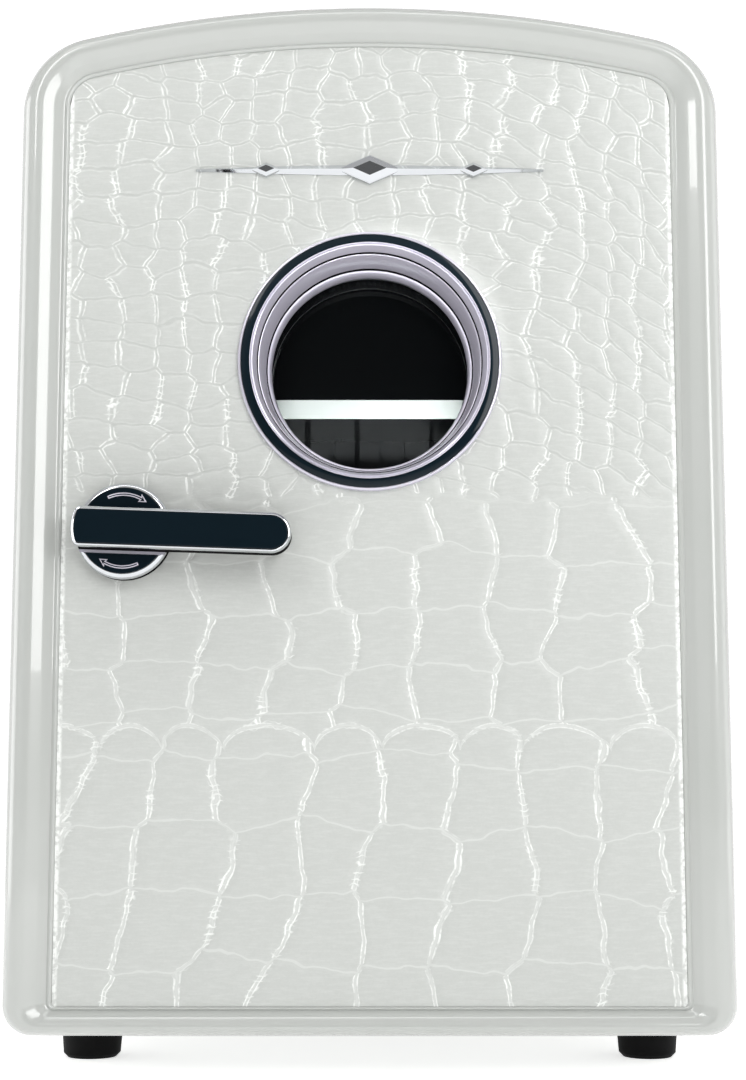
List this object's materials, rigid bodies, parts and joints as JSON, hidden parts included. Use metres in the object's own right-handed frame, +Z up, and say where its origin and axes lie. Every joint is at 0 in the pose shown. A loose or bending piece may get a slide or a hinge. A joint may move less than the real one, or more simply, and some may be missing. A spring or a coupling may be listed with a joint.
{
  "type": "mini fridge",
  "caption": "Small arched thermoelectric fridge with a leather-clad door, round window, turning lever latch, shelf, fan and fold-down carry handle.",
  "frame": {"origin": "on the floor under the middle of the whole body", "axes": "+Z up, front and door towards -Y, +X to the right as seen from the front"},
  "size_m": [0.19, 0.265, 0.2874],
  "materials": {
    "shell_white": "gloss",
    "leather": "satin",
    "chrome": "polished",
    "black_chrome": "polished",
    "liner_black": "gloss",
    "clear_glass": "polished",
    "rubber_black": "matte",
    "seal_rubber": "matte",
    "foam": "matte",
    "aluminium": "satin",
    "steel": "satin",
    "ceramic_white": "matte",
    "board_green": "satin",
    "component_dark": "satin",
    "backing_board": "matte"
  },
  "bodies": {
    "cabinet": {"front_collar": "shell_white", "cabinet_shell": "shell_white", "inner_liner": "liner_black", "cabinet_insulation": "foam", "rear_bulkhead": "backing_board", "rear_cover": "shell_white", "rear_cover_screws": "steel", "cold_block": "aluminium", "thermoelectric_module": "ceramic_white", "cold_sink": "aluminium", "hot_heat_sink": "aluminium", "heat_sink_screws": "steel", "fan_frame": "liner_black", "fan_guard": "liner_black", "fan_screws": "steel", "control_board": "board_green", "power_transformer": "component_dark", "filter_capacitors": "component_dark", "mains_inlet": "liner_black", "car_inlet": "liner_black", "switch_housing": "liner_black", "handle_tray": "shell_white", "handle_pins": "steel", "hinge_bracket_lower": "steel", "hinge_bracket_upper": "steel", "strike_plate": "steel", "foot_front_left": "rubber_black", "foot_front_right": "rubber_black", "foot_rear_left": "rubber_black", "foot_rear_right": "rubber_black"},
    "door": {"door_frame": "shell_white", "leather_panel": "leather", "door_board": "backing_board", "door_insulation": "foam", "door_liner": "shell_white", "door_liner_screws": "steel", "door_gasket": "seal_rubber", "door_magnet": "steel", "window_bezel": "chrome", "window_funnel": "chrome", "outer_pane": "clear_glass", "outer_pane_seal": "seal_rubber", "window_sleeve": "liner_black", "inner_pane_seal": "seal_rubber", "inner_pane": "clear_glass", "inner_window_ring": "liner_black", "badge": "chrome", "latch_bush": "liner_black", "hinge_pins": "steel"},
    "latch": {"latch_disc": "chrome", "latch_lever": "chrome", "lever_inlay": "black_chrome", "disc_inlays": "black_chrome", "latch_spindle": "steel", "latch_cam": "steel", "latch_cam_screw": "steel"},
    "fan": {"fan_rotor": "liner_black"},
    "handle": {"carry_handle": "shell_white"},
    "switch": {"mode_switch": "liner_black"},
    "shelf_body": {"shelf": "shell_white"}
  },
  "joints": [
    {"name": "door_hinge", "type": "hinge", "parent": "cabinet", "child": "door", "pos_m": [0.0895, -0.093, 0.14], "axis": [0, 0, 1], "range_deg": [0, 110]},
    {"name": "latch_turn", "type": "hinge", "parent": "door", "child": "latch", "pos_m": [-0.0645, -0.12, 0.141], "axis": [0, 1, 0], "range_deg": [0, 90]},
    {"name": "fan_spin", "type": "hinge", "parent": "cabinet", "child": "fan", "pos_m": [0, 0.118, 0.15], "axis": [0, 1, 0], "continuous": true},
    {"name": "mode_rock", "type": "hinge", "parent": "cabinet", "child": "switch", "pos_m": [0.042, 0.1265, 0.042], "axis": [1, 0, 0], "range_deg": [-8, 8]},
    {"name": "handle_fold", "type": "hinge", "parent": "cabinet", "child": "handle", "pos_m": [0, 0.014, 0.2705], "axis": [-1, 0, 0], "range_deg": [0, 90]},
    {"name": "shelf_slide", "type": "slide", "parent": "cabinet", "child": "shelf_body", "axis": [0, -1, 0], "range_m": [0, 0.01]}
  ]
}
